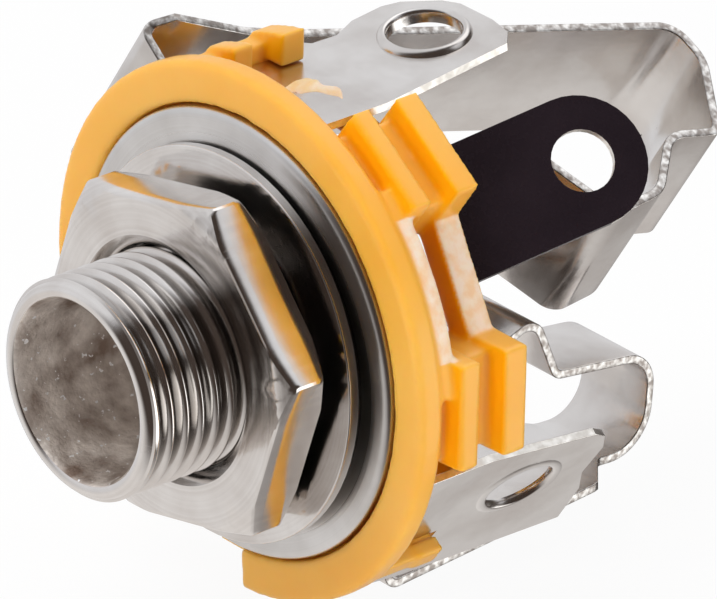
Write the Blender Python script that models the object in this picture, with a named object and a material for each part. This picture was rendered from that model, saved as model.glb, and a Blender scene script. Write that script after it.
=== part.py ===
"""Quarter inch panel phone jack, open frame, with a threaded bush, three solder lugs and two contact springs.

The bush axis is Y and its mouth points to -Y. Z is up. The origin is the centre of the bush flange's front face,
the face that bears on the panel. Sectors around the axis are named by their angle from +X towards +Z.
In a sector, rho is the distance from the axis along the sector's direction, and t runs across it.
"""
import math

import bmesh
import bpy
from mathutils import Matrix, Vector

MM = 0.001

# Fits between neighbouring pieces
SEAT_GAP = 0.05 * MM
RUNNING_GAP = 0.10 * MM

# Bush: one turned piece with a threaded tube, a flange and a spigot crimped over behind the body
THREAD_RADIUS = 4.75 * MM
THREAD_PITCH = 0.79375 * MM
BORE_RADIUS = 3.25 * MM
MOUTH_RADIUS = 3.95 * MM
MOUTH_DEPTH = 6.0 * MM
TUBE_LENGTH = 8.4 * MM
RIM_CHAMFER = 0.3 * MM
FLANGE_RADIUS = 9.7 * MM
FLANGE_THICKNESS = 1.0 * MM
FLANGE_BEVEL = 0.22 * MM
SPIGOT_RADIUS = 5.6 * MM
CRIMP_RADIUS = 6.6 * MM
CRIMP_THICKNESS = 0.55 * MM
TURNED_SIDES = 72

# Nut and washer on the thread
NUT_ACROSS_FLATS = 14.0 * MM
NUT_THICKNESS = 2.3 * MM
NUT_FRONT = -3.8 * MM
NUT_CORNER_ANGLE = 12.0
NUT_CHAMFER = 0.35 * MM
NUT_CORNER_CUT = 0.45 * MM
NUT_CORNER_DEPTH = 0.3 * MM
WASHER_RADIUS = 8.45 * MM
WASHER_THICKNESS = 0.5 * MM
WASHER_MIDDLE_Y = -0.72 * MM
WASHER_PLAY = 0.35 * MM
WASHER_DROP = 0.18 * MM
WASHER_LEAN = 2.2

# Plastic body: ring plate in front, frame ring behind, two-step blocks and hooks around them
RING_FRONT = 0.15 * MM
RING_REAR = 1.65 * MM
RING_LIP = 1.95 * MM
RING_RADIUS = FLANGE_RADIUS + RING_LIP
RING_EDGE = 0.35 * MM
NOTCH_FROM = -87.0
NOTCH_TO = -123.0
NOTCH_DEPTH = 2.35 * MM
NOTCH_RADIUS = RING_RADIUS - NOTCH_DEPTH
RING_SIDES = 96
STEP_1_FRONT = 1.3 * MM
STEP_1_REAR = 2.95 * MM
RIB_REAR = 2.3 * MM
RIB_WIDTH = 0.9 * MM
RIB_FROM = 6.0
RIB_TO = 50.0
STEP_2_FRONT = 4.35 * MM
FRAME_REAR = 5.45 * MM
FRAME_INSET = 2.15 * MM
FRAME_WALL = 1.0 * MM
FRAME_OUTER = RING_RADIUS - FRAME_INSET
FRAME_INNER = FRAME_OUTER - FRAME_WALL
STRUT_ANGLE = 28.5
STRUT_RISE = 0.3 * MM
STRUT_OUTER = FRAME_OUTER + STRUT_RISE
STRUT_HALF_LENGTH = 4.9 * MM
BLOCK_ANGLES = (1.0, 55.6)
BLOCK_WIDTH = 4.7 * MM
BLOCK_RISE = 0.32 * MM
BLOCK_OUTER = RING_RADIUS + BLOCK_RISE
BLOCK_GROOVE = 1.0 * MM
BLOCK_FLOOR = BLOCK_OUTER - BLOCK_GROOVE
HOOK_RISE = 0.75 * MM
HOOK_POST = 1.1 * MM
TIP_HOOK_T = (1.4 * MM, 4.4 * MM)
RING_HOOK_T = (1.3 * MM, 3.9 * MM)
HUB_POST_ANGLE = 210.0
HUB_POST_HALF_WIDTH = 2.2 * MM
JOIN = 0.3 * MM

# Sheet metal
LUG_SHEET = 0.35 * MM
SPRING_SHEET = 0.4 * MM
LUG_HOLE_RADIUS = 1.6 * MM
BEND_STEPS = 6

# Sleeve lug, blackened, in the sector at 45 degrees
SLEEVE_ANGLE = 45.0
SLEEVE_RHO = 7.75 * MM
SLEEVE_ROOT_Y = 5.65 * MM
SLEEVE_FLARE = 18.0
SLEEVE_HALF_WIDTH = 2.82 * MM
SLEEVE_OFFSET = -0.2 * MM
SLEEVE_HOLE_REACH = 7.3 * MM
SLEEVE_HOLE_RADIUS = 1.35 * MM
SLEEVE_TAB_FROM_T = 0.5 * MM
SLEEVE_COLLAR_RADIUS = 7.3 * MM

# Flat lugs on the body, with a window over each hook
LUG_CLEARANCE = 0.15 * MM
LUG_RHO = FRAME_OUTER + LUG_CLEARANCE + LUG_SHEET
LUG_FRONT_Y = RING_REAR + 0.2 * MM
LUG_BEND_Y = FRAME_REAR + 0.15 * MM
LUG_WEB_REAR_Y = FRAME_REAR + 0.65 * MM
TIP_LUG_ANGLE = 90.0
TIP_LUG_HOLE_REACH = 4.7 * MM
TIP_LUG_REACH = 7.45 * MM
TIP_LUG_HALF_WIDTH = 2.9 * MM
TIP_LUG_WEB_WIDTH = 5.3 * MM
TIP_LUG_FLARE = 7.0
RING_LUG_ANGLE = -36.0
RING_LUG_LIFT = 0.2 * MM
RING_LUG_HOLE_REACH = 3.0 * MM
RING_LUG_REACH = 6.5 * MM
RING_LUG_TOP_T = 3.0 * MM
RING_LUG_LOW_T = -6.4 * MM
RING_LUG_FLARE = 5.5

# Tip spring, in the sector at 148 degrees. Each bend is (rho, y, radius) in millimetres
TIP_SPRING_ANGLE = 148.0
TIP_SPRING_HALF_WIDTH = 3.6 * MM
TIP_SPRING_FOOT_HALF_WIDTH = 4.9 * MM
TIP_SPRING_SEAT_Y = RING_REAR + SEAT_GAP
TIP_SPRING_FOOT_RHO = RING_RADIUS - 1.55 * MM
TIP_SPRING_CORNER_RHO = RING_RADIUS + 0.97 * MM
TIP_SPRING_SHOULDER_Y = 8.5 * MM
TIP_SPRING_BENDS = (
    (4.85, 26.3, 1.3),
    (2.9, 26.55, 2.0),
    (-0.5, 24.8, 0.45),
    (0.1, 22.5, 1.2),
    (-2.15, 20.3, 1.6),
    (-2.4, 17.65, 0.9),
    (1.9, 15.7, 0.0),
)

# Ring spring, in the sector at -90 degrees
RING_SPRING_ANGLE = -90.0
RING_SPRING_HALF_WIDTH = 3.6 * MM
RING_SPRING_ARM_HALF_WIDTH = 2.05 * MM
RING_SPRING_SEAT_Y = FRAME_REAR + SEAT_GAP
RING_SPRING_FOOT_RHO = FRAME_INNER + 0.5 * MM
RING_SPRING_CORNER_RHO = FRAME_OUTER + 2.7 * MM
RING_SPRING_NECK_Y = 18.6 * MM
RING_SPRING_BENDS = (
    (11.2, 18.6, 3.0),
    (11.4, 21.6, 2.0),
    (7.0, 21.85, 1.6),
    (6.25, 16.3, 0.6),
    (3.2, 15.0, 0.9),
    (4.0, 12.9, 0.0),
)


def material(name, color, roughness, metallic):
    """A plain Principled material."""
    made = bpy.data.materials.new(name)
    made.use_nodes = True
    shader = made.node_tree.nodes["Principled BSDF"]
    shader.inputs["Base Color"].default_value = (*color, 1.0)
    shader.inputs["Roughness"].default_value = roughness
    shader.inputs["Metallic"].default_value = metallic
    return made


def add_object(name, bm, mat):
    """Puts a bmesh into the scene as a named object with its faces pointing out."""
    bmesh.ops.recalc_face_normals(bm, faces=bm.faces)
    mesh = bpy.data.meshes.new(name)
    bm.to_mesh(mesh)
    bm.free()
    made = bpy.data.objects.new(name, mesh)
    bpy.context.scene.collection.objects.link(made)
    if mat is not None:
        mesh.materials.append(mat)
    mesh.shade_smooth()
    mesh.set_sharp_from_angle(angle=math.radians(30))
    return made


def as_tool(made):
    """Marks an object as a construction shape that isn't part of the model."""
    made.hide_render = True
    made.display_type = "WIRE"
    return made


def combine(target, tool, operation):
    """Adds an exact Boolean of the tool to the target."""
    step = target.modifiers.new(f"{operation.lower()} {tool.name}", "BOOLEAN")
    step.operation = operation
    step.solver = "EXACT"
    step.object = as_tool(tool)


def outward(angle):
    """Unit vector from the axis towards a sector."""
    turn = math.radians(angle)
    return Vector((math.cos(turn), 0.0, math.sin(turn)))


def across(angle):
    """Unit vector across a sector, towards larger angles."""
    turn = math.radians(angle)
    return Vector((-math.sin(turn), 0.0, math.cos(turn)))


def sector_frame(angle):
    """Matrix from local (rho, y, t) to the part's frame."""
    n, t = outward(angle), across(angle)
    return Matrix(((n.x, 0, t.x, 0), (0, 1, 0, 0), (n.z, 0, t.z, 0), (0, 0, 0, 1)))


def turned(name, profile, sides, mat):
    """A closed profile of (radius, y) points carried round the Y axis."""
    bm = bmesh.new()
    rings = []
    for i in range(sides):
        turn = 2 * math.pi * i / sides
        c, s = math.cos(turn), math.sin(turn)
        rings.append([bm.verts.new((r * c, y, r * s)) for r, y in profile])
    for i, ring in enumerate(rings):
        following = rings[(i + 1) % sides]
        for j in range(len(profile)):
            k = (j + 1) % len(profile)
            bm.faces.new((ring[j], ring[k], following[k], following[j]))
    return add_object(name, bm, mat)


def prism(name, outline, low, high, axis_frame, mat=None):
    """An outline of (a, b) points at depth low, carried to depth high. axis_frame places (a, b, depth)."""
    bm = bmesh.new()
    bottom = [bm.verts.new(axis_frame @ Vector((a, b, low))) for a, b in outline]
    top = [bm.verts.new(axis_frame @ Vector((a, b, high))) for a, b in outline]
    bm.faces.new(bottom)
    bm.faces.new(top)
    for j in range(len(outline)):
        k = (j + 1) % len(outline)
        bm.faces.new((bottom[j], bottom[k], top[k], top[j]))
    return add_object(name, bm, mat)


def sector_box(name, angle, rho, y, t):
    """A box in a sector's own directions, from pairs of limits."""
    outline = [(rho[0], y[0]), (rho[1], y[0]), (rho[1], y[1]), (rho[0], y[1])]
    return prism(name, outline, t[0], t[1], sector_frame(angle))


def rounded_path(corners):
    """Points (rho, y) of a bent line. Each corner is (rho, y, bend radius), and a radius of 0 keeps it sharp."""
    points = []
    last = len(corners) - 1
    for i, (rho, y, radius) in enumerate(corners):
        here = Vector((rho, y))
        if i in (0, last) or radius == 0:
            points.append(here)
            continue
        back = (Vector(corners[i - 1][:2]) - here).normalized()
        ahead = (Vector(corners[i + 1][:2]) - here).normalized()
        half = math.acos(max(-1.0, min(1.0, back.dot(ahead)))) / 2
        reach = radius / math.tan(half)
        centre = here + (back + ahead).normalized() * (radius / math.sin(half))
        start = here + back * reach - centre
        sweep = math.pi - 2 * half
        side = 1.0 if back.x * ahead.y - back.y * ahead.x < 0 else -1.0
        for k in range(BEND_STEPS + 1):
            turn = side * sweep * k / BEND_STEPS
            c, s = math.cos(turn), math.sin(turn)
            points.append(centre + Vector((c * start.x - s * start.y, s * start.x + c * start.y)))
    return points


def path_sides(points, thickness):
    """Both faces of a sheet whose middle follows the points."""
    left, right = [], []
    for i, here in enumerate(points):
        before = points[max(i - 1, 0)]
        after = points[min(i + 1, len(points) - 1)]
        into = (here - before).normalized() if i else (after - here).normalized()
        out = (after - here).normalized() if i < len(points) - 1 else into
        mean = (into + out).normalized()
        normal = Vector((-mean.y, mean.x))
        reach = thickness / 2 / max(0.5, mean.dot(into))
        left.append(here + normal * reach)
        right.append(here - normal * reach)
    return left, right


def bent_sheet(name, angle, corners, thickness, widths, mat):
    """A strip of sheet bent along a path in a sector. widths gives (t low, t high) along the path's length."""
    points = rounded_path(corners)
    run = [0.0]
    for a, b in zip(points, points[1:]):
        run.append(run[-1] + (b - a).length)
    stations = sorted(set(run + [s for s, _, _ in widths if 0 < s < run[-1]]))
    middle, edges = [], []
    for s in stations:
        i = max(k for k in range(len(run) - 1) if run[k] <= s + 1e-12)
        share = (s - run[i]) / (run[i + 1] - run[i])
        middle.append(points[i].lerp(points[i + 1], share))
        edges.append(width_at(widths, s))
    left, right = path_sides(middle, thickness)
    place = sector_frame(angle)
    bm = bmesh.new()
    loops = []
    for upper, lower, (low, high) in zip(left, right, edges):
        section = ((upper, low), (upper, high), (lower, high), (lower, low))
        loops.append([bm.verts.new(place @ Vector((p.x, p.y, t))) for p, t in section])
    for here, following in zip(loops, loops[1:]):
        for j in range(4):
            k = (j + 1) % 4
            bm.faces.new((here[j], here[k], following[k], following[j]))
    bm.faces.new(loops[0])
    bm.faces.new(loops[-1])
    return add_object(name, bm, mat)


def width_at(widths, s):
    """The strip's two edges at a length s, between the stated stations."""
    for (s0, low0, high0), (s1, low1, high1) in zip(widths, widths[1:]):
        if s0 <= s <= s1:
            share = (s - s0) / (s1 - s0)
            return low0 + (low1 - low0) * share, high0 + (high1 - high0) * share
    return widths[-1][1:] if s > widths[-1][0] else widths[0][1:]


def flat_plate(name, angle, outline, rho, thickness, bend_y, flare, mat):
    """A sheet outline of (y, t) points on a sector's side, bent outward past bend_y by the flare."""
    place = sector_frame(angle)
    bm = bmesh.new()
    outer = [bm.verts.new((rho, y, t)) for y, t in outline]
    inner = [bm.verts.new((rho - thickness, y, t)) for y, t in outline]
    bm.faces.new(outer)
    bm.faces.new(inner)
    for j in range(len(outline)):
        k = (j + 1) % len(outline)
        bm.faces.new((outer[j], outer[k], inner[k], inner[j]))
    cut = bm.verts[:] + bm.edges[:] + bm.faces[:]
    bmesh.ops.bisect_plane(bm, geom=cut, plane_co=(0, bend_y, 0), plane_no=(0, 1, 0))
    turn = Matrix.Rotation(-math.radians(flare), 4, "Z")
    pivot = Vector((rho - thickness, bend_y, 0))
    for vert in bm.verts:
        if vert.co.y > bend_y + 1e-7:
            vert.co = turn @ (vert.co - pivot) + pivot
        vert.co = place @ vert.co
    return add_object(name, bm, mat)


def hole_tool(name, angle, rho, y, t, radius, flare, sides=28):
    """A round cutter across a sheet that leans out by the flare."""
    bm = bmesh.new()
    lean = Matrix.Rotation(-math.radians(flare), 4, "Z")
    stand = Matrix.Rotation(math.radians(90), 4, "Y")
    place = sector_frame(angle) @ Matrix.Translation((rho, y, t)) @ lean @ stand
    bmesh.ops.create_cone(
        bm, cap_ends=True, segments=sides, radius1=radius, radius2=radius, depth=4 * MM, matrix=place
    )
    return add_object(name, bm, None)


def build_bush(nickel):
    """The threaded tube, flange and crimped spigot in one turned profile."""
    rim = -TUBE_LENGTH
    crimp_front = RING_REAR + SEAT_GAP + LUG_SHEET + SEAT_GAP
    crimp_rear = crimp_front + CRIMP_THICKNESS
    profile = [
        (BORE_RADIUS, rim + MOUTH_DEPTH),
        (MOUTH_RADIUS, rim),
        (THREAD_RADIUS - RIM_CHAMFER, rim),
        (THREAD_RADIUS, rim + RIM_CHAMFER),
        (THREAD_RADIUS, 0.0),
        (FLANGE_RADIUS - FLANGE_BEVEL, 0.0),
        (FLANGE_RADIUS, FLANGE_BEVEL),
        (FLANGE_RADIUS, FLANGE_THICKNESS),
        (SPIGOT_RADIUS, FLANGE_THICKNESS),
        (SPIGOT_RADIUS, crimp_front),
        (CRIMP_RADIUS, crimp_front),
        (CRIMP_RADIUS, crimp_rear - FLANGE_BEVEL),
        (CRIMP_RADIUS - FLANGE_BEVEL, crimp_rear),
        (BORE_RADIUS, crimp_rear),
    ]
    return turned("bush", profile, TURNED_SIDES, nickel)


def build_washer(nickel):
    """The loose washer behind the nut. It hangs a little low on the thread and leans against the flange."""
    inner = THREAD_RADIUS + WASHER_PLAY
    half = WASHER_THICKNESS / 2
    profile = [(inner, -half), (WASHER_RADIUS, -half), (WASHER_RADIUS, half), (inner, half)]
    washer = turned("washer", profile, TURNED_SIDES, nickel)
    lean = Matrix.Rotation(math.radians(-WASHER_LEAN), 4, "X")
    washer.data.transform(Matrix.Translation((0, WASHER_MIDDLE_Y, -WASHER_DROP)) @ lean)
    return washer


def build_nut(nickel):
    """A hexagon prism with its corners turned off on both faces and a plain bore."""
    corner = NUT_ACROSS_FLATS / 2 / math.cos(math.radians(30))
    rear = NUT_FRONT + NUT_THICKNESS
    outline = []
    for i in range(6):
        turn = math.radians(NUT_CORNER_ANGLE + 60 * i)
        outline.append((corner * math.cos(turn), corner * math.sin(turn)))
    along_y = Matrix(((1, 0, 0, 0), (0, 0, 1, 0), (0, 1, 0, 0), (0, 0, 0, 1)))
    nut = prism("nut", outline, NUT_FRONT, rear, along_y, nickel)
    face = corner - NUT_CORNER_CUT
    drop = NUT_CORNER_DEPTH
    bore = THREAD_RADIUS + RUNNING_GAP
    outside = [
        (bore + NUT_CHAMFER, NUT_FRONT),
        (face, NUT_FRONT),
        (corner + RUNNING_GAP, NUT_FRONT + drop),
        (corner + RUNNING_GAP, rear - drop),
        (face, rear),
        (bore + NUT_CHAMFER, rear),
        (bore, rear - NUT_CHAMFER),
        (bore, NUT_FRONT + NUT_CHAMFER),
    ]
    combine(nut, turned("nut_turning", outside, TURNED_SIDES, None), "INTERSECT")
    return nut


def ring_plate(orange):
    """The ring in front, with a recess for the flange and a rounded outer edge."""
    recess = FLANGE_THICKNESS + SEAT_GAP
    edge = RING_EDGE
    profile = [
        (SPIGOT_RADIUS + RUNNING_GAP, recess),
        (FLANGE_RADIUS + RUNNING_GAP, recess),
        (FLANGE_RADIUS + RUNNING_GAP, RING_FRONT),
        (RING_RADIUS - 1.5 * edge, RING_FRONT),
        (RING_RADIUS - 0.6 * edge, RING_FRONT + 0.3 * edge),
        (RING_RADIUS, RING_FRONT + 1.4 * edge),
        (RING_RADIUS, RING_REAR - edge),
        (RING_RADIUS - 0.6 * edge, RING_REAR),
        (SPIGOT_RADIUS + RUNNING_GAP, RING_REAR),
    ]
    return turned("insulator", profile, RING_SIDES, orange)


def notch_tool():
    """A wedge that takes the missing stretch out of the ring."""
    outline = []
    steps = 10
    reach = RING_RADIUS * 1.3
    for radius, order in ((NOTCH_RADIUS, range(steps + 1)), (reach, range(steps, -1, -1))):
        for i in order:
            turn = math.radians(NOTCH_FROM + (NOTCH_TO - NOTCH_FROM) * i / steps)
            outline.append((radius * math.cos(turn), radius * math.sin(turn)))
    along_y = Matrix(((1, 0, 0, 0), (0, 0, 1, 0), (0, 1, 0, 0), (0, 0, 0, 1)))
    return prism("notch_cut", outline, RING_FRONT - JOIN, RING_REAR + JOIN, along_y)


def frame_ring():
    """The ring behind, which the sheets bear on."""
    profile = [
        (FRAME_INNER, STEP_2_FRONT),
        (FRAME_OUTER, STEP_2_FRONT),
        (FRAME_OUTER, FRAME_REAR),
        (FRAME_INNER, FRAME_REAR),
    ]
    return turned("frame_ring", profile, RING_SIDES, None)


def block_shapes(i, angle):
    """A post from plate to frame that carries two raised steps."""
    half = BLOCK_WIDTH / 2
    into_plate = RING_REAR - JOIN
    floor = FRAME_INNER + SEAT_GAP
    return [
        sector_box(f"post_{i}", angle, (floor, BLOCK_FLOOR), (into_plate, FRAME_REAR - SEAT_GAP), (-half + JOIN, half - JOIN)),
        sector_box(f"front_step_{i}", angle, (floor + JOIN, BLOCK_OUTER), (STEP_1_FRONT, STEP_1_REAR), (-half, half)),
        sector_box(f"rear_step_{i}", angle, (floor + JOIN, BLOCK_OUTER), (STEP_2_FRONT - SEAT_GAP, FRAME_REAR + SEAT_GAP), (-half, half)),
    ]


def hook_shapes(name, angle, side, reach, sheet_rho):
    """A post through a lug's window, with a rear step that reaches over the sheet. reach is (inner, outer) across."""
    front_t = sorted((side * (reach[1] - HOOK_POST), side * reach[1]))
    post_t = (front_t[0] + SEAT_GAP, front_t[1] - SEAT_GAP)
    step_t = sorted((side * reach[0], side * reach[1]))
    over = sheet_rho + SEAT_GAP
    top = over + HOOK_RISE
    post_y = (RING_REAR - JOIN, FRAME_REAR - SEAT_GAP)
    return [
        sector_box(f"{name}_post", angle, (FRAME_INNER + JOIN, over + JOIN), post_y, post_t),
        sector_box(f"{name}_front", angle, (over, top - SEAT_GAP), (STEP_1_FRONT, STEP_1_REAR), front_t),
        sector_box(f"{name}_rear", angle, (over, top), (STEP_2_FRONT, FRAME_REAR + SEAT_GAP), step_t),
    ]


def rib():
    """The thin arc that stiffens the ring's rear between the two blocks."""
    steps = 10
    outline = []
    outer = RING_RADIUS - RUNNING_GAP
    for radius, order in ((outer, range(steps + 1)), (outer - RIB_WIDTH, range(steps, -1, -1))):
        for i in order:
            turn = math.radians(RIB_FROM + (RIB_TO - RIB_FROM) * i / steps)
            outline.append((radius * math.cos(turn), radius * math.sin(turn)))
    along_y = Matrix(((1, 0, 0, 0), (0, 0, 1, 0), (0, 1, 0, 0), (0, 0, 0, 1)))
    return prism("rib", outline, RING_REAR - 2 * JOIN, RIB_REAR, along_y)


def build_insulator(orange):
    """The moulded body: plate, frame ring, strut, blocks, hooks and the two spring seats."""
    body = ring_plate(orange)
    strut = (FRAME_INNER + SEAT_GAP, STRUT_OUTER)
    reach = (-STRUT_HALF_LENGTH, STRUT_HALF_LENGTH)
    shapes = [frame_ring(), sector_box("strut", STRUT_ANGLE, strut, (STEP_2_FRONT, FRAME_REAR), reach)]
    for i, angle in enumerate(BLOCK_ANGLES):
        shapes += block_shapes(i + 1, angle)
    shapes.append(rib())
    shapes += hook_shapes("tip_hook", TIP_LUG_ANGLE, 1, TIP_HOOK_T, LUG_RHO)
    shapes += hook_shapes("ring_hook", RING_LUG_ANGLE, -1, RING_HOOK_T, LUG_RHO + RING_LUG_LIFT)
    post_t = (-HUB_POST_HALF_WIDTH, HUB_POST_HALF_WIDTH)
    post_y = (RING_REAR - JOIN, FRAME_REAR - SEAT_GAP)
    inner = FRAME_INNER + JOIN
    outer = FRAME_OUTER - JOIN
    for i, angle in enumerate((TIP_SPRING_ANGLE, HUB_POST_ANGLE)):
        shapes.append(sector_box(f"hub_post_{i + 1}", angle, (inner, outer), post_y, post_t))
    low_outer = RING_SPRING_CORNER_RHO - 1.2 * MM
    shapes.append(sector_box("ring_seat", RING_SPRING_ANGLE, (inner, low_outer), post_y, post_t))
    for shape in shapes:
        combine(body, shape, "UNION")
    combine(body, notch_tool(), "DIFFERENCE")
    return body


def build_sleeve_lug(black):
    """The blackened lug: a collar under the crimp, a narrow tab forward of it, and a flared plate with a round end."""
    place_y = RING_REAR + SEAT_GAP
    mid_y = place_y + LUG_SHEET / 2
    low = SLEEVE_OFFSET - SLEEVE_HALF_WIDTH
    high = SLEEVE_OFFSET + SLEEVE_HALF_WIDTH
    lean = math.radians(SLEEVE_FLARE)
    reach = SLEEVE_HOLE_REACH + SLEEVE_HALF_WIDTH
    rho = SLEEVE_RHO - LUG_SHEET / 2
    end = (rho + reach * math.sin(lean), SLEEVE_ROOT_Y + reach * math.cos(lean), 0)
    start_rho = SPIGOT_RADIUS + JOIN
    corners = [(start_rho, mid_y, 0), (rho, mid_y, 0.5 * MM), (rho, SLEEVE_ROOT_Y, 0.8 * MM), end]
    shoulder = (rho - start_rho) + (SLEEVE_ROOT_Y - mid_y) - 0.35 * MM
    total = (rho - start_rho) + (SLEEVE_ROOT_Y - mid_y) + reach - 0.28 * MM
    widths = [(0.0, SLEEVE_TAB_FROM_T, high), (shoulder, SLEEVE_TAB_FROM_T, high), (shoulder + 0.02 * MM, low, high)]
    steps = 9
    for i in range(steps + 1):
        turn = math.pi / 2 * i / steps
        half = SLEEVE_HALF_WIDTH * math.cos(turn) + 0.02 * MM
        s = total - SLEEVE_HALF_WIDTH * (1 - math.sin(turn))
        widths.append((s, SLEEVE_OFFSET - half, SLEEVE_OFFSET + half))
    lug = bent_sheet("sleeve_lug", SLEEVE_ANGLE, corners, LUG_SHEET, widths, black)
    collar = [
        (SPIGOT_RADIUS + RUNNING_GAP, place_y),
        (SLEEVE_COLLAR_RADIUS, place_y),
        (SLEEVE_COLLAR_RADIUS, place_y + LUG_SHEET),
        (SPIGOT_RADIUS + RUNNING_GAP, place_y + LUG_SHEET),
    ]
    combine(lug, turned("sleeve_collar", collar, TURNED_SIDES, None), "UNION")
    hole_rho = rho + SLEEVE_HOLE_REACH * math.sin(lean)
    hole_y = SLEEVE_ROOT_Y + SLEEVE_HOLE_REACH * math.cos(lean)
    combine(lug, hole_tool("sleeve_hole", SLEEVE_ANGLE, hole_rho, hole_y, SLEEVE_OFFSET, SLEEVE_HOLE_RADIUS, SLEEVE_FLARE), "DIFFERENCE")
    return lug


def hook_window(name, angle, side, reach, sheet_rho):
    """The opening in a lug sheet that its hook's post comes through."""
    t = sorted((side * (reach[1] - HOOK_POST - RUNNING_GAP), side * (reach[1] + RUNNING_GAP)))
    rho = (sheet_rho - 1.0 * MM, sheet_rho + 1.0 * MM)
    return sector_box(name, angle, rho, (LUG_FRONT_Y - JOIN, FRAME_REAR + RUNNING_GAP), tuple(t))


def lug_hole(name, angle, rho, reach, t, flare):
    """The solder hole of a flat lug, at a distance along the flared part."""
    lean = math.radians(flare)
    y = LUG_BEND_Y + reach * math.cos(lean)
    return hole_tool(name, angle, rho + reach * math.sin(lean), y, t, LUG_HOLE_RADIUS, flare)


def build_tip_lug(nickel):
    """The flat lug on top, with a web round its hook towards the tip spring."""
    half = TIP_LUG_HALF_WIDTH
    far = half + 0.4 * MM
    end = LUG_BEND_Y + TIP_LUG_REACH
    web = TIP_LUG_WEB_WIDTH
    outline = [
        (LUG_FRONT_Y, -half),
        (end - 0.9 * MM, -half),
        (end - 0.25 * MM, -half + 0.7 * MM),
        (end, -half + 1.9 * MM),
        (end, half - 1.9 * MM),
        (end - 0.35 * MM, half - 1.1 * MM),
        (end - 1.6 * MM, far - 0.3 * MM),
        (end - 2.4 * MM, far),
        (end - 4.0 * MM, far),
        (end - 5.2 * MM, far - 0.45 * MM),
        (LUG_WEB_REAR_Y + 0.6 * MM, far - 0.2 * MM),
        (LUG_WEB_REAR_Y, half + 1.2 * MM),
        (LUG_WEB_REAR_Y - 0.3 * MM, web),
        (LUG_FRONT_Y, web),
    ]
    lug = flat_plate("tip_lug", TIP_LUG_ANGLE, outline, LUG_RHO, LUG_SHEET, LUG_BEND_Y, TIP_LUG_FLARE, nickel)
    combine(lug, hook_window("tip_window", TIP_LUG_ANGLE, 1, TIP_HOOK_T, LUG_RHO), "DIFFERENCE")
    hole = lug_hole("tip_lug_hole", TIP_LUG_ANGLE, LUG_RHO, TIP_LUG_HOLE_REACH, 0.2 * MM, TIP_LUG_FLARE)
    combine(lug, hole, "DIFFERENCE")
    return lug


def build_ring_lug(nickel):
    """The lug at the lower right, whose sheet runs down to the ring spring."""
    end = LUG_BEND_Y + RING_LUG_REACH
    top = RING_LUG_TOP_T
    low = RING_LUG_LOW_T
    rho = LUG_RHO + RING_LUG_LIFT
    outline = [
        (LUG_FRONT_Y, top),
        (LUG_FRONT_Y, low + 0.8 * MM),
        (LUG_BEND_Y, low),
        (end + 0.9 * MM, low + 1.7 * MM),
        (end + 0.7 * MM, low + 4.2 * MM),
        (end, top - 3.6 * MM),
        (end, top - 1.5 * MM),
        (end - 0.5 * MM, top - 0.4 * MM),
        (end - 1.2 * MM, top),
    ]
    lug = flat_plate("ring_lug", RING_LUG_ANGLE, outline, rho, LUG_SHEET, LUG_BEND_Y, RING_LUG_FLARE, nickel)
    combine(lug, hook_window("ring_window", RING_LUG_ANGLE, -1, RING_HOOK_T, rho), "DIFFERENCE")
    hole = lug_hole("ring_lug_hole", RING_LUG_ANGLE, rho, RING_LUG_HOLE_REACH, -0.3 * MM, RING_LUG_FLARE)
    combine(lug, hole, "DIFFERENCE")
    return lug


def bends(listed):
    """A spring's bends, from millimetres."""
    return [(rho * MM, y * MM, radius * MM) for rho, y, radius in listed]


def path_length(corners):
    """Length of a bent line's middle."""
    points = rounded_path(corners)
    return sum((b - a).length for a, b in zip(points, points[1:]))


def build_tip_spring(nickel):
    """The leaf that runs back past the axis and returns to touch the plug's tip."""
    half = TIP_SPRING_HALF_WIDTH
    wide = TIP_SPRING_FOOT_HALF_WIDTH
    seat = TIP_SPRING_SEAT_Y + SPRING_SHEET / 2
    foot = [(TIP_SPRING_FOOT_RHO, seat, 0.0), (TIP_SPRING_CORNER_RHO, seat, 0.5 * MM)]
    corners = foot + bends(TIP_SPRING_BENDS)
    bend = TIP_SPRING_CORNER_RHO - TIP_SPRING_FOOT_RHO
    shoulder = bend + TIP_SPRING_SHOULDER_Y - seat
    total = path_length(corners)
    widths = [
        (0.0, -wide + 0.8 * MM, wide - 0.8 * MM),
        (bend, -wide + 0.5 * MM, wide - 0.5 * MM),
        (bend + 1.0 * MM, -wide, wide),
        (shoulder - 2.0 * MM, -half - 0.25 * MM, half + 0.25 * MM),
        (shoulder, -half, half),
        (total, -half, half),
    ]
    return bent_sheet("tip_spring", TIP_SPRING_ANGLE, corners, SPRING_SHEET, widths, nickel)


def build_ring_spring(nickel):
    """The strip that curls back at its end and rises to touch the plug's ring."""
    half = RING_SPRING_HALF_WIDTH
    arm = RING_SPRING_ARM_HALF_WIDTH
    seat = RING_SPRING_SEAT_Y + SPRING_SHEET / 2
    foot = [(RING_SPRING_FOOT_RHO, seat, 0.0), (RING_SPRING_CORNER_RHO, seat, 0.6 * MM)]
    corners = foot + bends(RING_SPRING_BENDS)
    neck = RING_SPRING_CORNER_RHO - RING_SPRING_FOOT_RHO + RING_SPRING_NECK_Y - seat
    total = path_length(corners)
    widths = [
        (0.0, -half, half),
        (neck - 1.4 * MM, -half, half),
        (neck, -arm, arm),
        (total, -arm, arm),
    ]
    return bent_sheet("ring_spring", RING_SPRING_ANGLE, corners, SPRING_SHEET, widths, nickel)


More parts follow.
